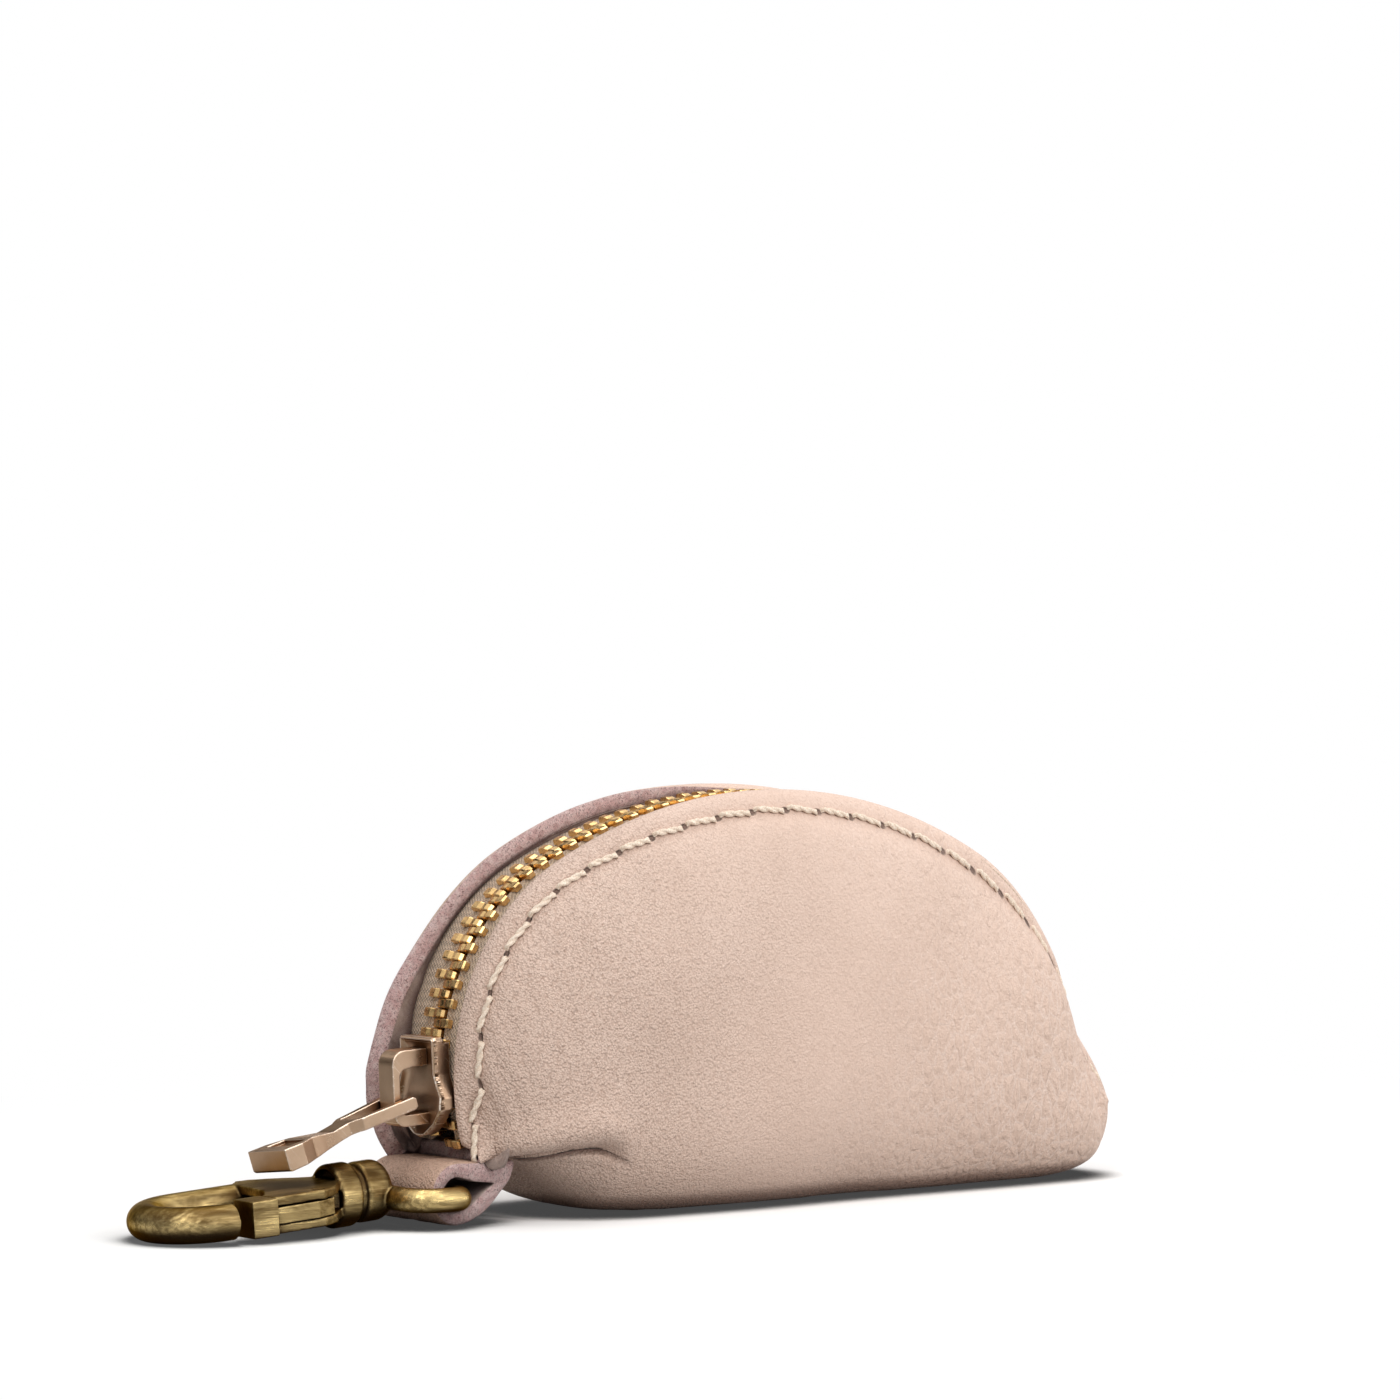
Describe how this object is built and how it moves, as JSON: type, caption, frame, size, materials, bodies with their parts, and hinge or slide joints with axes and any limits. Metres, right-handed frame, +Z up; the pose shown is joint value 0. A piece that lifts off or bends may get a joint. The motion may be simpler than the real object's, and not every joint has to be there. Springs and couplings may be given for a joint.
{
  "type": "zippered pouch",
  "caption": "Small half-moon leather pouch with a brass zip round its arch and a swivel snap hook held in a leather tab at one corner.",
  "frame": {"origin": "on the table plane, under the middle of the zip arch and midway between the two panels", "axes": "+Z up, +X towards the free right end, -Y towards the front panel; the tab and snap hook lie towards -X"},
  "size_m": [0.1476, 0.0283, 0.054],
  "materials": {
    "leather": "pebbled, soft sheen, dusty pink beige",
    "thread": "waxed cream thread",
    "tape": "woven beige tape",
    "zip_brass": "bright golden brass",
    "champagne_metal": "satin champagne plating",
    "antique_brass": "antique brass, dark in the recesses and brushed bright on the edges",
    "spring_steel": "plain spring wire"
  },
  "bodies": {
    "pouch": {"leather_body": "leather", "leather_tab": "leather", "front_seam_thread": "thread", "back_seam_thread": "thread", "front_zip_tape": "tape", "back_zip_tape": "tape", "front_zip_teeth": "zip_brass", "back_zip_teeth": "zip_brass"},
    "slider": {"slider_body": "champagne_metal", "slider_crown": "champagne_metal", "slider_lock_spring": "spring_steel"},
    "pull": {"pull_tab": "champagne_metal"},
    "eye": {"swivel_eye": "antique_brass"},
    "hook": {"hook_frame": "antique_brass", "gate_pin": "antique_brass", "gate_spring": "spring_steel"},
    "gate": {"hook_gate": "antique_brass"}
  },
  "joints": [
    {"name": "slider_travel", "type": "hinge", "parent": "pouch", "child": "slider", "pos_m": [-0.0198, 0, 0.0183], "axis": [0, 1, 0], "range_deg": [0, 60], "deforming": ["front_zip_teeth", "back_zip_teeth", "front_zip_tape", "back_zip_tape"]},
    {"name": "pull_swing", "type": "hinge", "parent": "slider", "child": "pull", "pos_m": [-0.05396, 0, 0.01481], "axis": [0, 1, 0], "range_deg": [0, 100]},
    {"name": "eye_tilt", "type": "hinge", "parent": "pouch", "child": "eye", "pos_m": [-0.05035, 0, 0.0036], "axis": [0, 1, 0], "range_deg": [-65, 0]},
    {"name": "hook_swivel", "type": "hinge", "parent": "eye", "child": "hook", "pos_m": [-0.0566, 0, 0.0045], "axis": [-0.9974, 0, -0.0715], "range_deg": [-12, 12]},
    {"name": "gate_open", "type": "hinge", "parent": "hook", "child": "gate", "pos_m": [-0.06937, -0.0062, 0.00359], "axis": [0.0715, 0, -0.9974], "range_deg": [0, 28], "stiffness_Nm_per_rad": 0.03, "springref_deg": -11.46, "deforming": ["gate_spring"]}
  ]
}
